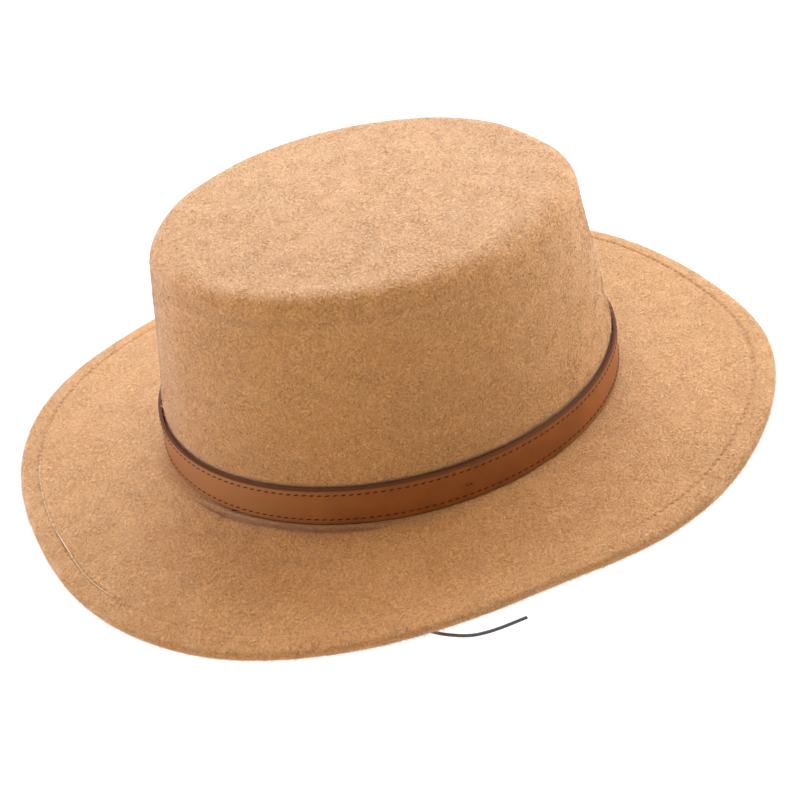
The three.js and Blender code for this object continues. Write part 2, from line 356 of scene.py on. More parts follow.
EDGE_TABLE = [
    {"lift": 0.47, "stray": -0.44},
    {"lift": -0.06, "stray": 0.83},
    {"lift": 1.00, "stray": 0.78},
    {"lift": 0.19, "stray": 0.67},
    {"lift": -0.16, "stray": -0.83},
    {"lift": 0.08, "stray": 0.22},
    {"lift": -0.04, "stray": 0.22},
    {"lift": -0.05, "stray": 0.39},
    {"lift": 0.34, "stray": 1.00},
    {"lift": 0.14, "stray": -0.17},
    {"lift": -0.05, "stray": -0.39},
    {"lift": 0.34, "stray": 0.00},
]
DENT_TABLE = [
    {"turn": 97, "spread": 11, "height": 0.985, "tall": 0.07, "depth": 1.0},
    {"turn": 279, "spread": 5, "height": 0.68, "tall": 0.26, "depth": -0.55},
    {"turn": 266, "spread": 8, "height": 0.6, "tall": 0.25, "depth": 0.5},
    {"turn": 295, "spread": 9, "height": 0.62, "tall": 0.25, "depth": 0.35},
    {"turn": 215, "spread": 8, "height": 0.88, "tall": 0.08, "depth": 0.6},
    {"turn": 231, "spread": 7, "height": 0.93, "tall": 0.06, "depth": -0.4},
    {"turn": 160, "spread": 20, "height": 0.5, "tall": 0.25, "depth": 0.6},
    {"turn": 30, "spread": 18, "height": 0.45, "tall": 0.2, "depth": 0.4},
]
ROLL_TABLE = [
    {"turn": 268, "spread": 9, "rise": 0.7},
    {"turn": 287, "spread": 8, "rise": 1.0},
    {"turn": 305, "spread": 9, "rise": 0.85},
    {"turn": 322, "spread": 8, "rise": 0.5},
    {"turn": 337, "spread": 7, "rise": 0.35},
    {"turn": 150, "spread": 25, "rise": 0.4},
]

EDGE_THICKNESS = 2 * FELT_THICKNESS + HEM_PUFF
WELT_RADIUS = EDGE_THICKNESS / 2
BAND_FOOT = SEAT_HEIGHT + CLEARANCE
BAND_HEAD = BAND_FOOT + BAND_WIDTH
SHOULDER_FOOT = CROWN_HEIGHT - SHOULDER_RADIUS
SEAT_WIDTH = CROWN_HALF_WIDTH + BAND_FLARE + SEAT_FILLET
SEAT_LENGTH = CROWN_HALF_LENGTH + BAND_FLARE + SEAT_FILLET
BRIM_SPAN = BRIM_HALF_WIDTH - SEAT_WIDTH


def mix(a, b, share):
    return a + (b - a) * share


def bell(distance, spread):
    return math.exp(-((distance / spread) ** 2))


def smooth(share):
    t = min(1.0, max(0.0, share))
    return t * t * (3 - 2 * t)


def around(column, turn):
    """A smooth closed curve through one column of the edge table."""
    count = len(EDGE_TABLE)
    place = turn / (2 * math.pi) % 1 * count
    row = math.floor(place)
    t = place - row
    a, b, c, d = [EDGE_TABLE[(row + step) % count][column] for step in (-1, 0, 1, 2)]
    return b + 0.5 * t * (c - a + t * (2 * a - 5 * b + 4 * c - d + t * (3 * (b - c) + d - a)))


def apart(turn, degrees):
    gap = abs(math.degrees(turn) - degrees) % 360
    return min(gap, 360 - gap)


@functools.lru_cache(maxsize=None)
def waves_at(turn):
    """How strong each of the hat's uneven features is in one direction."""
    full, end = RIDGE_REACH
    return {
        "lift": max(0.0, around("lift", turn)),
        "stray": around("stray", turn),
        "rolls": sum(roll["rise"] * bell(apart(turn, roll["turn"]), roll["spread"]) for roll in ROLL_TABLE),
        "dents": [bell(apart(turn, dent["turn"]), dent["spread"]) for dent in DENT_TABLE],
        "seam": 1 - BURIED_SHARE * bell(apart(turn, BURIED_TURN), BURIED_SPREAD),
        "knuckle": bell(apart(turn, KNUCKLE_TURN), KNUCKLE_TURN_SPREAD),
        "ridge": 1 - smooth((apart(turn, RIDGE_TURN) - full) / (end - full)),
        "foot": bell(apart(turn, FOOT_TURN), FOOT_TURN_SPREAD),
    }


def oval_reach(width, length, squareness, turn):
    across = abs(math.cos(turn)) / width
    along = abs(math.sin(turn)) / length
    return (across**squareness + along**squareness) ** (-1 / squareness)


def crown_size(height):
    if height <= BAND_HEAD:
        flare = BAND_FLARE * (1 - smooth((height - SEAT_HEIGHT) / (BAND_HEAD - SEAT_HEIGHT)))
        return CROWN_HALF_WIDTH + flare, CROWN_HALF_LENGTH + flare
    share = (height - BAND_HEAD) / (SHOULDER_FOOT - BAND_HEAD)
    width = mix(CROWN_HALF_WIDTH, TIP_HALF_WIDTH, share)
    return width, mix(CROWN_HALF_LENGTH, TIP_HALF_LENGTH, share)


def ring_of(zone, width, length, height, brim=0.0, tip=0.0, up=0.0):
    """A ring of felt before its waves; brim, tip and up are shares of the brim's way out, of the
    tip's tilt, and of facing upwards."""
    ring = {"zone": zone, "width": width, "length": length, "height": height}
    ring.update({"brim": brim, "tip": tip, "up": up, "groove": 0.0, "knuckle": 0.0})
    return {**ring, "gap_shade": 0.0, "crease_shade": 0.0, "foot_shade": 0.0, "knuckle_shade": 0.0}


def brim_ring(zone, inset, height=None):
    share = 1 - inset / BRIM_SPAN
    inward = max(0.0, (inset - HEM_WIDTH) / (BRIM_SPAN - HEM_WIDTH))
    length = mix(BRIM_HALF_LENGTH - min(inset, HEM_WIDTH), SEAT_LENGTH, inward)
    if height is None:
        height = mix(EDGE_THICKNESS, SEAT_HEIGHT, (1 - share) ** BRIM_FLATTEN)
    return ring_of(zone, BRIM_HALF_WIDTH - inset, length, height, brim=share)


def crown_rings(depth, counts, zones):
    """Rings from the middle of the tip down to the bend, outside or a depth inside the crown."""
    rings = []
    radius = SHOULDER_RADIUS - depth
    flat_width = TIP_HALF_WIDTH - SHOULDER_RADIUS
    flat_length = TIP_HALF_LENGTH - SHOULDER_RADIUS
    for index in range(counts["tip"]):
        share = index / counts["tip"]
        height = CROWN_HEIGHT + TIP_DOME * (1 - share**2) - depth
        rings.append(ring_of(zones[0], flat_width * share, flat_length * share, height, tip=1.0, up=1.0))
    for index in range(counts["shoulder"]):
        angle = math.pi / 2 * (1 - index / counts["shoulder"])
        out = radius * math.cos(angle)
        height = SHOULDER_FOOT + radius * math.sin(angle)
        ring = ring_of(zones[0], flat_width + out, flat_length + out, height, tip=1.0, up=math.sin(angle))
        crease = bell(math.degrees(angle) - KNUCKLE_CREASE_ANGLE, KNUCKLE_CREASE_SPREAD)
        full = bell(math.degrees(angle) - KNUCKLE_MIDDLE, KNUCKLE_SPREAD)
        ring["knuckle"] = KNUCKLE_RISE * full - KNUCKLE_CREASE * crease
        ring["knuckle_shade"] = KNUCKLE_SHADE * crease
        rings.append(ring)
    heights = [mix(SHOULDER_FOOT, BAND_HEAD, index / counts["wall"]) for index in range(counts["wall"])]
    heights += [BAND_HEAD + rise * mm for rise in PINCH_RISES]
    for height in heights:
        width, length = crown_size(height)
        tip = smooth(1 - 2 * (SHOULDER_FOOT - height) / (SHOULDER_FOOT - BAND_HEAD))
        zone = zones[1] if height > BAND_HEAD + BARE_RISE else zones[2]
        rings.append(ring_of(zone, width - depth, length - depth, height, tip=tip))
    heights = [BAND_HEAD - drop * mm for drop in PINCH_DROPS]
    for index in range(1, counts["band"] + 1):
        heights.append(mix(BAND_HEAD, SEAT_HEIGHT + SEAT_FILLET, index / counts["band"]))
    for height in heights:
        width, length = crown_size(height)
        rings.append(ring_of(zones[2], width - depth, length - depth, height))
    return rings


def bend_rings(depth):
    radius = SEAT_FILLET + depth
    rings = []
    for angle in (22.5, 45.0, 67.5, 90.0):
        out = radius * math.cos(math.radians(angle))
        height = SEAT_HEIGHT + SEAT_FILLET - radius * math.sin(math.radians(angle))
        rings.append(ring_of("bend", SEAT_WIDTH - out, SEAT_LENGTH - out, height, up=1.0))
    return rings


def groove_depth(inset):
    """How far the row of stitches pulls the felt in, at a distance from the edge."""
    return STITCH_DEPTH * bell(inset - STITCH_INSET, STITCH_SPREAD)


def hood_profile():
    """The felt's section from the middle of the tip, out round the edge and back inside."""
    outside = {"tip": 12, "shoulder": 16, "wall": 36, "band": 5}
    rings = crown_rings(0.0, outside, ("tip", "wall", "under_band"))
    for ring in rings:
        ring["gap_shade"] = GAP_SHADE * bell(ring["height"] - BAND_HEAD + GAP_DROP, GAP_SPREAD)
    rings += bend_rings(0.0)
    foot_rings, brim_rings, hem_rings, welt_rings = 20, 26, 22, 14
    foot_end = BRIM_SPAN - FOOT_WIDTH
    insets = [mix(BRIM_SPAN, foot_end, index / foot_rings) for index in range(1, foot_rings + 1)]
    insets += [mix(foot_end, HEM_WIDTH, index / brim_rings) for index in range(1, brim_rings + 1)]
    for inset in insets:
        out = BRIM_SPAN - inset
        ring = brim_ring("pressed" if out < CREASE_PLACE + CREASE_SPREAD else "brim", inset)
        ring["crease_shade"] = CREASE_SHADE * bell(out - CREASE_PLACE, CREASE_SHADE_SPREAD)
        ring["foot_shade"] = FOOT_SHADE * bell(out - FOOT_PLACE, FOOT_SPREAD)
        rings.append(ring)
    for index in range(1, hem_rings + 1):
        ring = brim_ring("hem", mix(HEM_WIDTH, WELT_RADIUS, index / hem_rings))
        ring["height"] += HEM_CROWN * math.sin(math.pi * index / hem_rings)
        ring["groove"] = groove_depth(BRIM_HALF_WIDTH - ring["width"])
        rings.append(ring)
    for index in range(1, welt_rings + 1):
        angle = math.pi * (0.5 - index / welt_rings)
        inset = WELT_RADIUS * (1 - math.cos(angle))
        rings.append(brim_ring("welt", inset, WELT_RADIUS * (1 + math.sin(angle))))
    for share in (0.25, 0.5, 0.75, 1.0):
        rings.append(brim_ring("under", mix(WELT_RADIUS, HEM_FLAT, share), 0.0))
    cut = brim_ring("under", HEM_WIDTH)
    foot, head = cut["height"] - EDGE_THICKNESS, cut["height"] - FELT_THICKNESS
    for share in (0.5, 0.85):
        rings.append(brim_ring("under", mix(HEM_FLAT, HEM_WIDTH, share), foot * share))
    for share in (0.1, 0.5, 0.9):
        rings.append({**cut, "height": mix(foot, head, share)})
    under_rings = 24
    for index in range(1, under_rings):
        ring = brim_ring("under", mix(HEM_WIDTH, BRIM_SPAN, index / under_rings))
        rings.append({**ring, "height": ring["height"] - FELT_THICKNESS})
    inside = {"tip": 8, "shoulder": 8, "wall": 18, "band": 5}
    rings += bend_rings(FELT_THICKNESS)[::-1]
    return rings + crown_rings(FELT_THICKNESS, inside, ("inside", "inside", "inside"))[::-1]


def felt_point(ring, turn):
    here = waves_at(turn)
    brim, height = ring["brim"], ring["height"]
    reach = 0.0
    if ring["width"] > 0:
        squareness = mix(2.0, BRIM_SQUARENESS, smooth(brim))
        reach = oval_reach(ring["width"], ring["length"], squareness, turn)
    reach += EDGE_WANDER * here["stray"] * brim**2
    height += EDGE_LIFT * here["lift"] * brim**2 - ring["groove"] * here["seam"]
    if brim > 0:
        height += ROLL_HEIGHT * here["rolls"] * bell(brim - ROLL_PLACE, ROLL_SPREAD)
        out = brim * BRIM_SPAN
        ridge = smooth((out - RIDGE_START) / RIDGE_FLANK) * smooth((RIDGE_END - out) / RIDGE_FLANK)
        height += RIDGE_RISE * here["ridge"] * ridge
        height -= CREASE_DEPTH * here["ridge"] * bell(out - CREASE_PLACE, CREASE_SPREAD)
    elif ring["height"] > BAND_HEAD:
        for dent, near in zip(DENT_TABLE, here["dents"]):
            level = bell(ring["height"] / CROWN_HEIGHT - dent["height"], dent["tall"])
            rim = min(1.0, ring["width"] / (TIP_HALF_WIDTH - SHOULDER_RADIUS)) ** 4
            depth = DENT_DEPTH * dent["depth"] * near * level * rim
            reach -= depth * (1 - ring["up"])
            height -= depth * ring["up"]
    if brim == 0 and ring["up"] == 0:
        reach -= BAND_PINCH * bell(ring["height"] - BAND_HEAD, BAND_PINCH_SPREAD)
    reach += here["knuckle"] * ring["knuckle"] * math.sqrt(1 - ring["up"] ** 2)
    height += here["knuckle"] * ring["knuckle"] * ring["up"]
    height -= TIP_TILT * math.sin(turn) * ring["tip"]
    lean = TIP_LEAN * smooth((ring["height"] - BAND_HEAD) / (SHOULDER_FOOT - BAND_HEAD))
    return Vector((reach * math.cos(turn), reach * math.sin(turn) - lean, height))


def felt_shade(ring, turn):
    """How much painted shade the felt of a ring gets in one direction."""
    here = waves_at(turn)
    creases = ring["crease_shade"] * here["ridge"] + ring["knuckle_shade"] * here["knuckle"]
    return ring["gap_shade"] + creases + ring["foot_shade"] * here["foot"]


def wrap_sheet(rows, steps, marks=()):
    """A sheet of mesh to be wrapped once round the hat, with a number of each mark's name on every
    vertex. Gives the bmesh, and each vertex's row and direction."""
    bm = bmesh.new()
    for mark in marks:
        bm.verts.layers.float.new(mark)
    layer = bm.verts.layers.int.new("ring")
    bmesh.ops.create_grid(bm, x_segments=rows - 1, y_segments=steps, size=0.5)
    spots = {}
    for vert in bm.verts:
        vert[layer] = round((vert.co.x + 0.5) * (rows - 1))
        column = round((vert.co.y + 0.5) * steps) % steps
        spots[vert] = (vert[layer], 2 * math.pi * column / steps)
    return bm, spots


def close_skin(bm):
    bmesh.ops.remove_doubles(bm, verts=bm.verts, dist=0.001 * mm)
    bmesh.ops.recalc_face_normals(bm, faces=bm.faces)
    bm.normal_update()


def even_turns(point_at, spacing):
    """Directions that cut a closed line into equal lengths near a spacing, and its whole length."""
    steps = 1440
    lengths = lengths_along([point_at(2 * math.pi * step / steps) for step in range(steps + 1)])
    count = round(lengths[-1] / spacing)
    places = np.interp(np.arange(count + 1) / count * lengths[-1], lengths, range(steps + 1))
    return [2 * math.pi * place / steps for place in places[:-1]], lengths[-1]


HEM_PITCH = 3.2 * mm
seam_ring = {**brim_ring("hem", STITCH_INSET), "groove": STITCH_DEPTH}
seam_turns, seam_length = even_turns(lambda turn: felt_point(seam_ring, turn), HEM_PITCH)

hood = hood_profile()
felt_bm, felt_spots = wrap_sheet(len(hood), TURN_STEPS, ("shade",))
for vert, (number, turn) in felt_spots.items():
    vert.co = felt_point(hood[number], turn)
close_skin(felt_bm)
shade_layer = felt_bm.verts.layers.float["shade"]
for vert in felt_bm.verts:
    number, turn = felt_spots[vert]
    ring = hood[number]
    lump = noise.noise(vert.co / LUMP_SIZE) + LUMP_DETAIL * noise.noise(vert.co / LUMP_DETAIL_SIZE)
    if ring["zone"] == "brim":
        rolls = waves_at(turn)["rolls"] * bell(ring["brim"] - ROLL_PLACE, ROLL_SPREAD)
        lump += ROLL_LUMP * rolls * noise.noise(vert.co / ROLL_LUMP_SIZE)
    vert.co += vert.normal * FELT_LUMP * lump * smooth((vert.co.z - LUMP_FROM) / LUMP_FADE)
    vert[shade_layer] = felt_shade(ring, turn)


def seam_shows(turn):
    return waves_at(turn)["seam"] > 1 - BURIED_FROM


@functools.lru_cache(maxsize=None)
def seam_count(turn):
    """How many of the hem's stitches lie between the start and a direction."""
    return float(np.interp(turn, seam_turns + [2 * math.pi], range(len(seam_turns) + 1)))


# The first coordinate counts the hem's stitches and the second is the distance from the edge, as
# a share of the seam's. Below the felt, and where nap buries the seam, the second is far from it.
seam_map = felt_bm.loops.layers.uv.new("seam")
for face in felt_bm.faces:
    turns = [felt_spots[loop.vert][1] for loop in face.loops]
    wraps = max(turns) - min(turns) > math.pi
    for loop, turn in zip(face.loops, turns):
        turn += 2 * math.pi if wraps and turn < math.pi else 0.0
        ring = hood[felt_spots[loop.vert][0]]
        upper = ring["zone"] in ("pressed", "brim", "hem", "welt") and seam_shows(turn)
        inset = (BRIM_HALF_WIDTH - ring["width"]) / STITCH_INSET if upper else SEAM_AWAY
        loop[seam_map].uv = (seam_count(turn), inset)

FELT_LIGHT = (0.89, 0.436, 0.126)
FELT_DARK = (0.38, 0.151, 0.031)
FELT_RUSSET = (0.68, 0.27, 0.06)
FELT_HOLE_SHADE = (0.2, 0.075, 0.025)
# the colour towards which the felt is blended for painted shade
FELT_PAINTED_SHADE = (0.16, 0.048, 0.01)
SWIRL_SIZE = 7 * mm
SWIRL_REACH = 4 * mm
STREAK_SIZE = 0.9 * mm
CLUMP_SIZE = 4.0 * mm
RUST_SIZE = 22 * mm
CLOUD_SIZE = 30 * mm


def felt_finish(name, **constants):
    """Felt's finish, the fields of its short swirling streaks and of its clumps, and its colour."""
    finish = Finish(name, **constants)
    place = finish.place()
    inputs = {"Vector": place, "Scale": 1 / SWIRL_SIZE, "Detail": 1.0}
    flow = finish.node("ShaderNodeTexNoise", None, inputs, output=1)
    inputs = {0: flow, 1: (SWIRL_REACH, SWIRL_REACH, SWIRL_REACH), 2: place}
    swirled = finish.node("ShaderNodeVectorMath", {"operation": "MULTIPLY_ADD"}, inputs)
    streaks = finish.noise(swirled, STREAK_SIZE, roughness=0.7, distortion=0.8)
    clumps = finish.noise(place, CLUMP_SIZE, roughness=0.6)
    clouds = finish.noise(place, CLOUD_SIZE)
    # The colour follows the streaks, which also make the felt's relief: lighter where it stands up and
    # darker in its hollows, partly the wool's own uneven tone and partly painted shade.
    tone = (streaks * 0.87 + clumps * 0.08 + clouds * 0.1).between(0.34, 0.72)
    tone_and_shade = finish.blend(tone, FELT_DARK, FELT_LIGHT)
    rust = finish.noise(place, RUST_SIZE, detail=3.0, roughness=0.6).between(0.45, 0.8)
    return finish, streaks, clumps, finish.blend(rust * 0.35, tone_and_shade, FELT_RUSSET)


felt, streaks, clumps, felt_colour = felt_finish(
    "wool_felt",
    Roughness=0.6,
    Specular_IOR_Level=0.5,
    Sheen_Weight=0.3,
    Sheen_Roughness=0.5,
    Sheen_Tint=(1.0, 0.94, 0.88),
)
seam = felt.node("ShaderNodeUVMap", {"uv_map": "seam"})
beside = ((felt.split(seam, 0).fraction() - 0.5) * (HEM_PITCH / mm)) ** 2.0
across = ((felt.split(seam, 1) - 1.0) * (STITCH_INSET / mm)) ** 2.0
hole = 1.0 - (beside + across).between(0.1, 0.9)
shows = felt.noise(felt.place(), 12 * mm).between(0.3, 0.7) * 0.2
# Painted shade: the shade attribute darkens the felt in the gap above the band, in the creases of the ridge
# and the shoulder, and on the brim at the band's foot.
painted_shade = felt.node("ShaderNodeAttribute", {"attribute_name": "shade"}, output=2)
felt_colour = felt.blend(painted_shade, felt_colour, FELT_PAINTED_SHADE)
# Painted shade in the dimples where the hem's stitches pull the felt in, showing faintly in patches.
felt.colour(felt.blend(hole * shows, felt_colour, FELT_HOLE_SHADE))
felt.relief(streaks * 0.9 + clumps * 0.2 - hole * 0.5, 0.7 * mm)
felt_hood = add_piece("felt_hood", mesh_of("felt_hood", felt_bm), felt, "felt_body")

# The nap is the felt's own wool, brushed up into short tufts that lie in swirls, with finer
# hairs that stand off between them and blur the outline.
NAP_SWIRL = 8 * mm
NAP_SWIRL_SEED = 5  # without it Blender's vector noise, and so the swirls, would differ in each run
NAP_STRAY = 0.5  # how far a tuft turns from its swirl
NAP_ROOT = 0.12 * mm
MAP_GAP = 0.15  # share of a tuft's cell in the map
nap, _, _, nap_colour = felt_finish(
    "felt_nap",
    Roughness=0.65,
    Specular_IOR_Level=0.4,
    Sheen_Weight=0.25,
    Sheen_Roughness=0.5,
    Sheen_Tint=(1.0, 0.94, 0.88),
)
tone = nap.node("ShaderNodeAttribute", {"attribute_name": "tone"}, output=2)
nap.colour(nap.blend(0.7, nap_colour, nap.blend(tone, (0.42, 0.175, 0.038), (0.92, 0.53, 0.175))))
# The fine hairs are coloured much paler than the felt: painted light, the glow of thin fibres lit from
# behind.
fuzz = Finish("felt_fuzz", Roughness=0.7, Specular_IOR_Level=0.5, Sheen_Weight=0.5)
tone = fuzz.node("ShaderNodeAttribute", {"attribute_name": "tone"}, output=2)
fuzz.colour(fuzz.blend(tone, (0.85, 0.48, 0.2), (0.97, 0.74, 0.45)))


def unit(vectors):
    return vectors / np.linalg.norm(vectors, axis=1, keepdims=True)


def brush_nap(name, finish, zones, count, radius, lengths, tilts, seed):
    """Scatters tufts over some zones of the felt. Each is a slim three-sided spike."""
    rng = np.random.default_rng(seed)
    mesh = felt_hood.data
    mesh.calc_loop_triangles()
    places = np.empty(3 * len(mesh.vertices))
    mesh.vertices.foreach_get("co", places)
    rings = np.empty(len(mesh.vertices), dtype=np.int32)
    mesh.attributes["ring"].data.foreach_get("value", rings)
    corners = np.empty(3 * len(mesh.loop_triangles), dtype=np.int32)
    mesh.loop_triangles.foreach_get("vertices", corners)
    corners = corners.reshape(-1, 3)
    inside = np.array([ring["zone"] in zones for ring in hood])[rings[corners]].all(axis=1)
    a, b, c = np.moveaxis(places.reshape(-1, 3)[corners[inside]], 1, 0)
    facing = np.cross(b - a, c - a)
    areas = np.linalg.norm(facing, axis=1)
    picked = rng.choice(len(areas), size=count, p=areas / areas.sum())
    u, v = np.sort(rng.random((2, count, 1)), axis=0)
    feet = a[picked] * u + b[picked] * (v - u) + c[picked] * (1 - v)
    normals = unit(facing[picked])

    swirl = unit(np.array([noise.noise_vector(Vector(foot) / NAP_SWIRL) for foot in feet]))
    flow = swirl + rng.normal(scale=NAP_STRAY, size=(count, 3))
    flat = unit(flow - normals * (flow * normals).sum(axis=1, keepdims=True))
    tilt = np.radians(rng.uniform(*tilts, (count, 1)))
    along = flat * np.cos(tilt) + normals * np.sin(tilt)
    side = unit(np.cross(normals, along))
    over = np.cross(along, side)
    thick = radius * rng.uniform(0.6, 1.3, (count, 1))
    root = feet - along * NAP_ROOT
    spikes = [root + thick * (math.cos(t) * side + math.sin(t) * over) for t in (0.0, 2.1, 4.2)]
    spikes.append(root + along * rng.uniform(*lengths, (count, 1)))
    points = np.stack(spikes, axis=1)
    points[..., 2] = np.maximum(points[..., 2], 0.0)
    sheet = np.array([(0, 1, 3), (1, 2, 3), (2, 0, 3)])
    faces = 4 * np.arange(count)[:, None, None] + sheet

    tufts = bpy.data.meshes.new(name)
    tufts.from_pydata(points.reshape(-1, 3).tolist(), [], faces.reshape(-1, 3).tolist())
    tones = np.repeat(rng.random(count), 4)
    tufts.attributes.new("tone", "FLOAT", "POINT").data.foreach_set("value", tones)
    across = math.ceil(math.sqrt(count))
    cells = np.stack([np.arange(count) % across, np.arange(count) // across], axis=1)
    shape = np.array([(MAP_GAP, MAP_GAP), (1 - MAP_GAP, MAP_GAP), (0.5, 1 - MAP_GAP)])
    spots = (cells[:, None, None, :] + shape) * np.ones((1, 3, 1, 1)) / across
    tufts.uv_layers.new(name="OFBake").data.foreach_set("uv", spots.ravel())
    add_piece(name, tufts, finish)


noise.seed_set(NAP_SWIRL_SEED)
tuft = {"finish": nap, "radius": 0.085 * mm, "lengths": (0.6 * mm, 1.4 * mm), "tilts": (2, 16)}
hair = {"finish": fuzz, "radius": 0.04 * mm, "lengths": (0.8 * mm, 2.2 * mm), "tilts": (20, 80)}
brush_nap("nap_tip", zones=("tip",), count=42000, seed=11, **tuft)
brush_nap("nap_wall", zones=("wall",), count=60000, seed=12, **tuft)
brush_nap("nap_brim", zones=("brim",), count=63000, seed=13, **tuft)
brush_nap("nap_hem", zones=("hem", "welt"), count=27000, seed=14, **tuft)
brush_nap("fuzz_crown", zones=("tip", "wall"), count=24000, seed=15, **hair)
brush_nap("fuzz_edge", zones=("welt",), count=28000, seed=16, **hair)

# The leather band is a strip of smooth brown leather closed round the foot of the crown. Its
# edges are painted dark, and a row of brown thread runs near each edge.
BAND_THICKNESS = 1.6 * mm
BAND_ROUND = 0.4 * mm
BAND_ROUND_STEPS = 4
BAND_FACE_STEPS = 30
BAND_STEPS = 320
BAND_SEAM_UPPER = 2.3 * mm
BAND_SEAM_LOWER = 2.6 * mm
BAND_GROOVE = 0.05 * mm
BAND_GROOVE_SPREAD = 0.45 * mm
PAINTED_SHEEN_TURN = 293
PAINTED_SHEEN_SPREAD = 24


def band_corner(centre_out, centre_height, start):
    """A quarter of a circle, clockwise from an angle in degrees."""
    angles = [math.radians(start - 90 * step / BAND_ROUND_STEPS) for step in range(BAND_ROUND_STEPS + 1)]
    ways = [(math.cos(angle), math.sin(angle)) for angle in angles]
    return [(centre_out + BAND_ROUND * out, centre_height + BAND_ROUND * up) for out, up in ways]


def band_section():
    """The strip's outline as a closed loop: distance out from the felt, and height."""
    inside, outside = CLEARANCE, CLEARANCE + BAND_THICKNESS
    upper, lower = BAND_HEAD - BAND_ROUND, BAND_FOOT + BAND_ROUND
    points = band_corner(inside + BAND_ROUND, upper, 180) + band_corner(outside - BAND_ROUND, upper, 90)
    for step in range(1, BAND_FACE_STEPS):
        height = mix(upper, lower, step / BAND_FACE_STEPS)
        above = bell(BAND_HEAD - height - BAND_SEAM_UPPER, BAND_GROOVE_SPREAD)
        below = bell(height - BAND_FOOT - BAND_SEAM_LOWER, BAND_GROOVE_SPREAD)
        points.append((outside - BAND_GROOVE * (above + below), height))
    points += band_corner(outside - BAND_ROUND, lower, 0) + band_corner(inside + BAND_ROUND, lower, -90)
    return points + points[:1]


def band_point(out, height, turn):
    width, length = crown_size(height)
    reach = oval_reach(width + out, length + out, 2.0, turn)
    return Vector((reach * math.cos(turn), reach * math.sin(turn), height))


section = band_section()
band_bm, band_spots = wrap_sheet(len(section), BAND_STEPS)
for vert, (number, turn) in band_spots.items():
    vert.co = band_point(*section[number], turn)
close_skin(band_bm)

# The first coordinate is the paint of the edges, and the second a painted sheen that makes the leather
# paler at the left front.
edge_map = band_bm.loops.layers.uv.new("strip")
for face in band_bm.faces:
    for loop in face.loops:
        painted = 1.0 if abs(face.normal.z) > 0.1 else 0.0
        painted_sheen = bell(apart(band_spots[loop.vert][1], PAINTED_SHEEN_TURN), PAINTED_SHEEN_SPREAD)
        loop[edge_map].uv = (painted, painted_sheen)

LEATHER_BROWN = (0.36, 0.094, 0.007)
LEATHER_DEEP = (0.26, 0.066, 0.004)
LEATHER_PAINTED_SHEEN = (0.46, 0.185, 0.055)
EDGE_PAINT = (0.15, 0.05, 0.017)
leather = Finish("band_leather", Specular_IOR_Level=0.35, Coat_Roughness=0.22)
place = leather.place()
strip_map = leather.node("ShaderNodeUVMap", {"uv_map": "strip"})
painted, painted_sheen = leather.split(strip_map, 0), leather.split(strip_map, 1)
pores = leather.noise(place, 0.45 * mm)
settings, inputs = {"feature": "DISTANCE_TO_EDGE"}, {"Vector": place, "Scale": 1 / (0.9 * mm)}
creases = leather.node("ShaderNodeTexVoronoi", settings, inputs).between(0.0, 0.12)
stain = leather.noise(place, 14 * mm, detail=3.0, roughness=0.6)
hide = leather.blend(stain.between(0.3, 0.7), LEATHER_DEEP, LEATHER_BROWN)
# Painted sheen: the leather is blended paler at the left front, standing in for light reflected there.
hide = leather.blend(painted_sheen * 0.9, hide, LEATHER_PAINTED_SHEEN)
leather.colour(leather.blend(painted, hide, EDGE_PAINT))
leather.roughness(pores * 0.12 + 0.5 + painted * 0.25)
leather.set(leather.shader.inputs["Coat Weight"], 0.3 * (1.0 - painted))
leather.relief(creases * 0.6 + pores * 0.4, 0.05 * mm)
add_piece("band_strip", mesh_of("band_strip", band_bm), leather, "leather_band")

# Brown thread is drawn through the band near both of its edges, in stitches that sink a little
# into the leather, and two short tacks hold the strip where its ends meet.
BAND_PITCH = 3.15 * mm
BAND_STITCH = 1.9 * mm
BAND_STITCH_SLANT = 0.14 * mm
BAND_THREAD = 0.29 * mm
TACK_TURN = 355.5
TACK_HEIGHT = mix(BAND_FOOT, BAND_HEAD, 0.44)
TACK_GAP = 1.6 * mm
TACK_LENGTH = 1.1 * mm
THREAD_END_TURN = 294.5  # the lower row's thread ends in a short tail
THREAD_END_LENGTH = 2.2 * mm
THREAD_END_OUT = 0.3 * mm
THREAD_END_HEIGHT = BAND_FOOT + 0.5 * mm
THREAD_END_SLANT = 0.35 * mm
STITCH_SIDES = 6
STITCH_BLUNTNESS = 0.45  # 1 is a plain oval

stitch_bm = bmesh.new()
bmesh.ops.create_uvsphere(stitch_bm, u_segments=STITCH_SIDES, v_segments=STITCH_SIDES, radius=1.0)
stitch_bm.verts.index_update()
stitch_faces = [[vert.index for vert in face.verts] for face in stitch_bm.faces]
stitch_corners = []
for vert in stitch_bm.verts:
    blunt = math.copysign(abs(vert.co.z) ** STITCH_BLUNTNESS, vert.co.z)
    stitch_corners.append(Vector((vert.co.x, vert.co.y, blunt / 2)))
stitch_bm.free()


def sew(name, stitches, radius, finish):
    """Makes a row of stitches, each given by its two ends and the way out of what it is sewn to."""
    points, faces = [], []
    for start, end, out in stitches:
        along = end - start
        side = along.cross(out).normalized()
        up = side.cross(-along).normalized()
        turned = Matrix((radius * side, radius * up, along)).transposed()
        faces += [[len(points) + corner for corner in face] for face in stitch_faces]
        points += [(start + end) / 2 + turned @ corner for corner in stitch_corners]
    mesh = bpy.data.meshes.new(name)
    mesh.from_pydata(points, [], faces)
    add_piece(name, mesh, finish)


def band_stitch(out, height, rise, turn, half):
    """The ends of a stitch that lies along the band, and the way out of the band."""
    start = band_point(out, height - rise, turn - half)
    end = band_point(out, height + rise, turn + half)
    return start, end, Vector((math.cos(turn), math.sin(turn), 0.0))


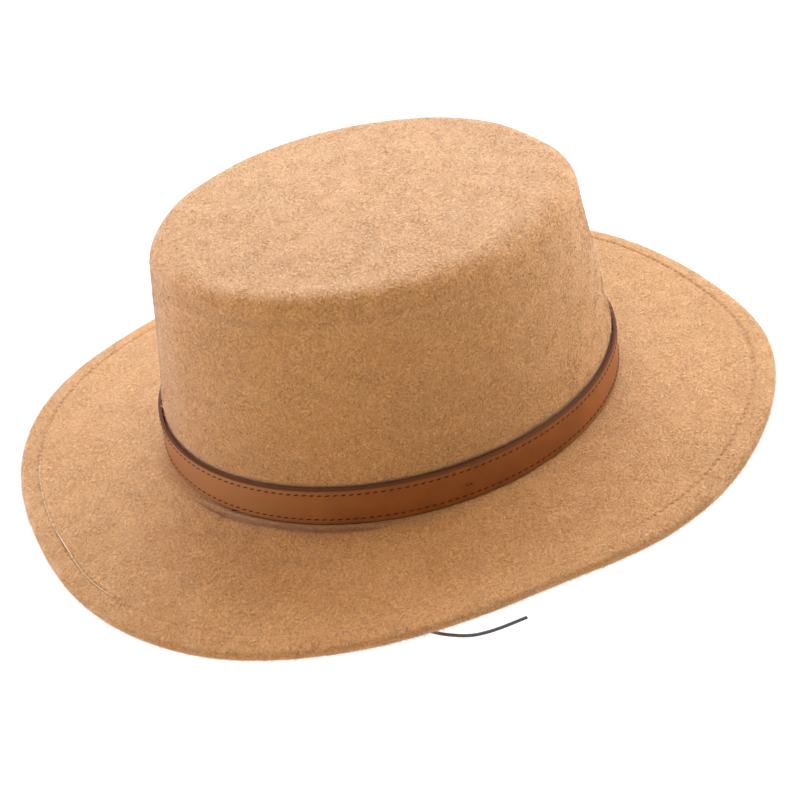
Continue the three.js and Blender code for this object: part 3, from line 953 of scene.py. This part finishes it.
groove_floor = CLEARANCE + BAND_THICKNESS - BAND_GROOVE
band_sewing = []
for height in (BAND_HEAD - BAND_SEAM_UPPER, BAND_FOOT + BAND_SEAM_LOWER):
    turns, girth = even_turns(lambda turn: band_point(groove_floor, height, turn), BAND_PITCH)
    half = BAND_STITCH / girth * math.pi
    band_sewing += [band_stitch(groove_floor, height, BAND_STITCH_SLANT, turn, half) for turn in turns]
band_face = CLEARANCE + BAND_THICKNESS
half = TACK_LENGTH / CROWN_HALF_WIDTH / 2
for place in (-0.5, 0.5):
    turn = math.radians(TACK_TURN) + place * TACK_GAP / CROWN_HALF_WIDTH
    band_sewing.append(band_stitch(band_face, TACK_HEIGHT, 0.0, turn, half))
half, turn = THREAD_END_LENGTH / CROWN_HALF_WIDTH / 2, math.radians(THREAD_END_TURN)
thread_end = (band_face + THREAD_END_OUT, THREAD_END_HEIGHT, THREAD_END_SLANT, turn, half)
band_sewing.append(band_stitch(*thread_end))
band_thread = Finish("band_thread", Roughness=0.7, Specular_IOR_Level=0.1)
twist = band_thread.noise(band_thread.place(), 0.3 * mm)
band_thread.colour(band_thread.blend(twist, (0.03, 0.01, 0.003), (0.075, 0.027, 0.008)))
band_thread.relief(twist, 0.05 * mm)
sew("band_stitches", band_sewing, BAND_THREAD, band_thread)

# The hem's seam is a camel thread that the nap nearly hides. At the left front it lies on top
# of the felt, and a length of it has worked loose.
HEM_THREAD = 0.2 * mm
HEM_STITCH = 2.3 * mm
HEM_SUNK = -0.15 * mm
HEM_RAISED = 0.45 * mm
HEM_RAISED_TURN = 261
HEM_RAISED_SPREAD = 11
LOOSE_FROM = 271
LOOSE_TO = 290
LOOSE_THREAD = 0.11 * mm
LOOSE_BULGE = 1.2  # the strands of the thread have opened up here
LOOSE_BULGE_PLACE = 8 * mm
LOOSE_STEPS = 60
LOOSE_SIDES = 6
LOOSE_SWAY = 0.45 * mm
LOOSE_WAVES = 7
LOOSE_FOOT = 0.15 * mm
LOOSE_BOW = 0.4 * mm

hem_sewing = []
half = HEM_STITCH / seam_length * math.pi
for turn in filter(seam_shows, seam_turns):
    middle = turn + math.pi / len(seam_turns)
    over = mix(HEM_SUNK, HEM_RAISED, bell(apart(middle, HEM_RAISED_TURN), HEM_RAISED_SPREAD))
    raised = {**seam_ring, "height": seam_ring["height"] + over}
    start, end = [felt_point(raised, middle + way) for way in (-half, half)]
    hem_sewing.append((start, end, Vector((0.0, 0.0, 1.0))))
camel_thread = Finish("hem_thread", Roughness=0.7, Specular_IOR_Level=0.3)
twist = camel_thread.noise(camel_thread.place(), 0.4 * mm)
camel_thread.colour(camel_thread.blend(twist, (0.72, 0.5, 0.28), (0.95, 0.8, 0.56)))
sew("hem_stitches", hem_sewing, HEM_THREAD, camel_thread)


def loose_points():
    points = []
    for step in range(LOOSE_STEPS + 1):
        share = step / LOOSE_STEPS
        ring = brim_ring("hem", STITCH_INSET + LOOSE_SWAY * math.sin(LOOSE_WAVES * share))
        ring["height"] += LOOSE_FOOT + LOOSE_BOW * math.sin(math.pi * share)
        points.append(felt_point(ring, math.radians(mix(LOOSE_FROM, LOOSE_TO, share))))
    return points


def loose_reach(angle, length):
    return LOOSE_THREAD * (1.0 + LOOSE_BULGE * bell(length - LOOSE_BULGE_PLACE, LOOSE_BULGE_PLACE))


loose_mesh = mesh_of("loose_thread", roll_tube(loose_points(), LOOSE_SIDES, loose_reach))
add_piece("loose_thread", loose_mesh, camel_thread)

# The tab is a small plain piece of leather inside the crown. The cord is sewn into its foot.
tab_leather = Finish("tab_leather", Roughness=0.6, Specular_IOR_Level=0.4)
grain = tab_leather.noise(tab_leather.place(), 0.8 * mm, detail=3.0)
tab_leather.colour(tab_leather.blend(grain, (0.085, 0.035, 0.015), (0.14, 0.06, 0.028)))
tab_leather.relief(grain, 0.1 * mm)
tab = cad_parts["cord_tab"]
tab.data.materials.clear()
tab.data.materials.append(tab_leather.material)

# The floor and the backdrop are plain white. The floor glows, as a lit table does.
FLOOR_SIZE = 4.0
BACKDROP_RADIUS = 4.0
paper = Finish("paper", Roughness=1.0, Specular_IOR_Level=0.0, Emission_Strength=1.0)
paper.colour((0.3, 0.3, 0.3))
paper.set(paper.shader.inputs["Emission Color"], (1.0, 1.0, 1.0))
floor_bm = bmesh.new()
bmesh.ops.create_grid(floor_bm, x_segments=1, y_segments=1, size=FLOOR_SIZE)
floor = add_object("floor", mesh_of("floor", floor_bm), paper)
backdrop_bm = bmesh.new()
bmesh.ops.create_uvsphere(backdrop_bm, u_segments=48, v_segments=24, radius=BACKDROP_RADIUS)
bmesh.ops.reverse_faces(backdrop_bm, faces=backdrop_bm.faces)
backdrop = add_object("backdrop", mesh_of("backdrop", backdrop_bm), paper)
backdrop.visible_diffuse = False
backdrop.visible_glossy = False
backdrop.visible_shadow = False

# Soft studio light: near lights above the hat and across from the camera, low ones that graze
# both ends of the crown, and large ones further off beside the camera.
LIGHT_AIM = Vector((0.0, 0.0, 0.04))


def soft_light(name, turn, height, distance, size, power, colour):
    data = bpy.data.lights.new(name, "AREA")
    data.shape = "DISK"
    data.size = size
    data.energy = power
    data.color = colour
    light = bpy.data.objects.new(name, data)
    bpy.context.collection.objects.link(light)
    turn, height = math.radians(turn), math.radians(height)
    way = Vector((math.cos(height) * math.cos(turn), math.cos(height) * math.sin(turn), math.sin(height)))
    light.location = LIGHT_AIM + way * distance
    light.rotation_euler = way.to_track_quat("Z", "Y").to_euler()


soft_light("top_light", 159, 80, 0.7, 0.6, 1.5, (1.2, 1.0, 0.7))
soft_light("back_light", 159, 50, 0.8, 0.6, 6.3, (0.72, 1.03, 1.45))
soft_light("right_back_light", 110, 40, 1.2, 0.9, 5.1, (0.92, 1.05, 1.55))
soft_light("low_left_light", 228, 10, 0.9, 0.5, 4.4, (0.97, 1.03, 1.3))
soft_light("low_right_light", 85, 10, 0.9, 0.5, 5.8, (1.02, 0.98, 0.82))
soft_light("left_light", 295, 45, 1.5, 1.0, 8.4, (1.0, 0.98, 1.0))
soft_light("front_light", 340, 45, 1.6, 1.0, 1.6, (1.2, 0.95, 1.0))
world = bpy.data.worlds.new("studio")
world.use_nodes = True
world.node_tree.nodes["Background"].inputs["Color"].default_value = (1.0, 1.0, 1.0, 1.0)
world.node_tree.nodes["Background"].inputs["Strength"].default_value = 0.01
bpy.context.scene.world = world
bpy.context.scene.view_settings.view_transform = "Standard"
